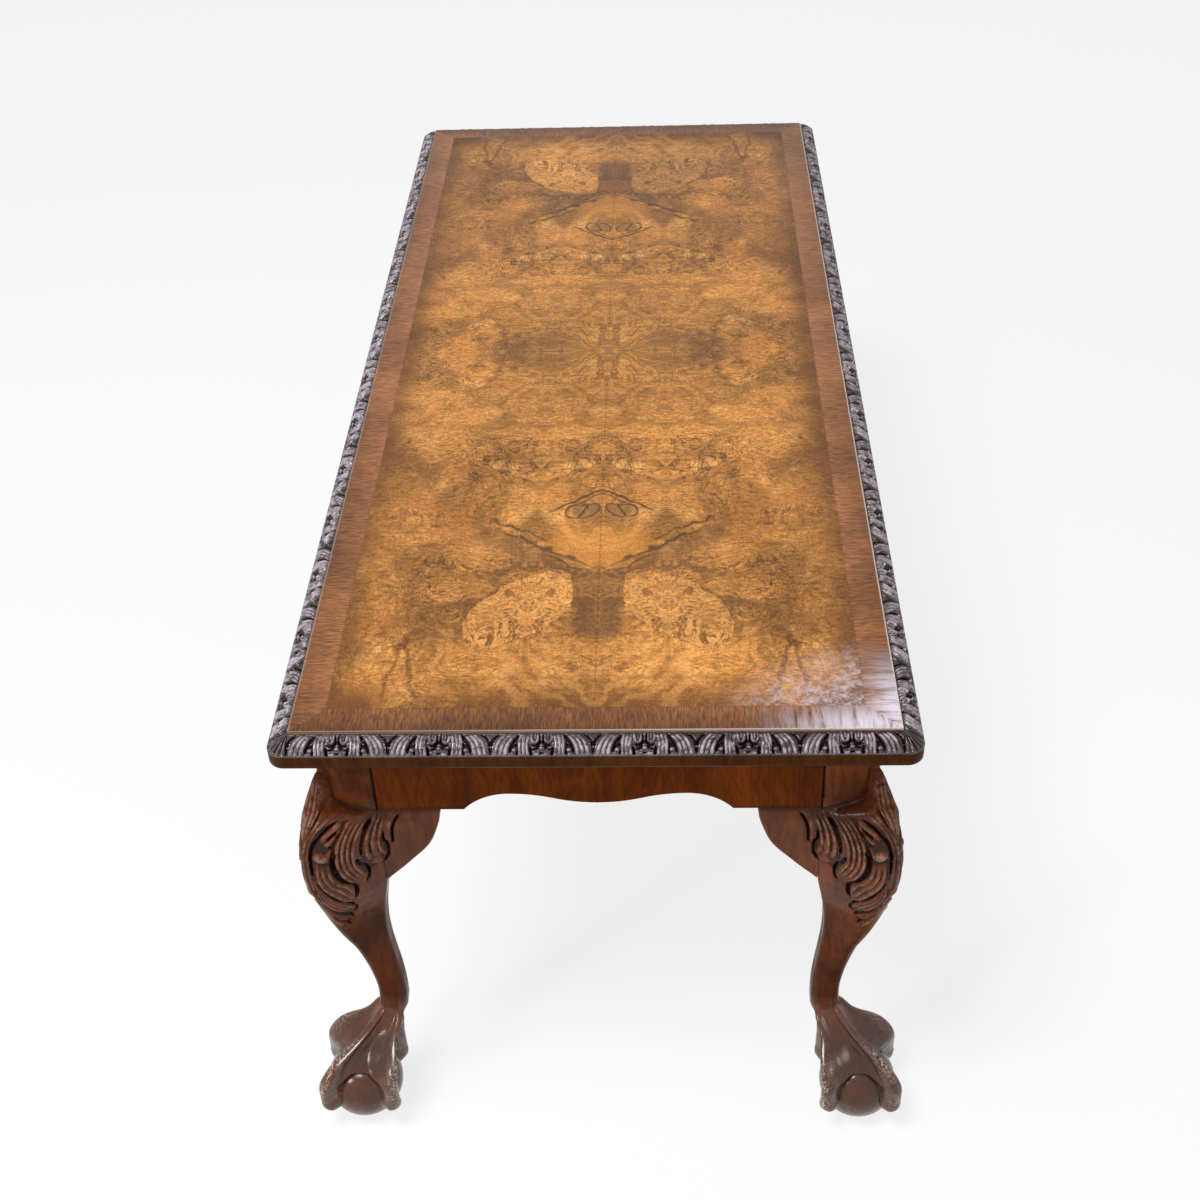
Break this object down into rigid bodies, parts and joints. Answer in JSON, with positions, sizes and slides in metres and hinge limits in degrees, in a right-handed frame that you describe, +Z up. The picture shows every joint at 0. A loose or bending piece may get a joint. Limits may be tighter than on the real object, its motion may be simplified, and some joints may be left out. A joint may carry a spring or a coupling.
{
  "type": "coffee table",
  "caption": "Long low coffee table with a quartered veneered top, carved edge moulding, shaped rails and carved cabriole legs on ball-and-claw feet.",
  "frame": {"origin": "on the floor, under the middle of the table", "axes": "+Y along the length, +X across the width, +Z up; the front is the -Y end"},
  "size_m": [0.488, 1.076, 0.45],
  "materials": {
    "burr_veneer": "quarter-matched burr walnut, French polished, golden brown",
    "crossband": "cross-grained walnut veneer, polished",
    "moulding": "carved walnut, dark polish",
    "carved_walnut": "carved walnut, red-brown polish, rubbed on the high places",
    "rail_veneer": "figured walnut veneer, polished",
    "ground_wood": "plain unpolished wood",
    "beech": "plain unpolished wood",
    "screw_steel": "dull steel"
  },
  "bodies": {
    "root": {"back_rail": "ground_wood", "back_rail_veneer": "rail_veneer", "backing_veneer": "ground_wood", "burr_leaf_back_inner_left": "burr_veneer", "burr_leaf_back_inner_right": "burr_veneer", "burr_leaf_back_outer_left": "burr_veneer", "burr_leaf_back_outer_right": "burr_veneer", "burr_leaf_front_inner_left": "burr_veneer", "burr_leaf_front_inner_right": "burr_veneer", "burr_leaf_front_outer_left": "burr_veneer", "burr_leaf_front_outer_right": "burr_veneer", "button_screws": "screw_steel", "corner_block_back_left": "ground_wood", "corner_block_back_right": "ground_wood", "corner_block_front_left": "ground_wood", "corner_block_front_right": "ground_wood", "corner_block_screws": "screw_steel", "crossband_back": "crossband", "crossband_front": "crossband", "crossband_left": "crossband", "crossband_right": "crossband", "ear_back_left": "carved_walnut", "ear_back_right": "carved_walnut", "ear_front_left": "carved_walnut", "ear_front_right": "carved_walnut", "ear_left_left": "carved_walnut", "ear_left_right": "carved_walnut", "ear_right_left": "carved_walnut", "ear_right_right": "carved_walnut", "edge_moulding_back": "moulding", "edge_moulding_front": "moulding", "edge_moulding_left": "moulding", "edge_moulding_right": "moulding", "front_rail": "ground_wood", "front_rail_veneer": "rail_veneer", "left_rail": "ground_wood", "left_rail_veneer": "rail_veneer", "leg_back_left": "carved_walnut", "leg_back_right": "carved_walnut", "leg_front_left": "carved_walnut", "leg_front_right": "carved_walnut", "right_rail": "ground_wood", "right_rail_veneer": "rail_veneer", "top_button_back_1": "beech", "top_button_front_1": "beech", "top_button_left_1": "beech", "top_button_left_2": "beech", "top_button_left_3": "beech", "top_button_right_1": "beech", "top_button_right_2": "beech", "top_button_right_3": "beech", "top_core": "ground_wood"}
  },
  "joints": []
}
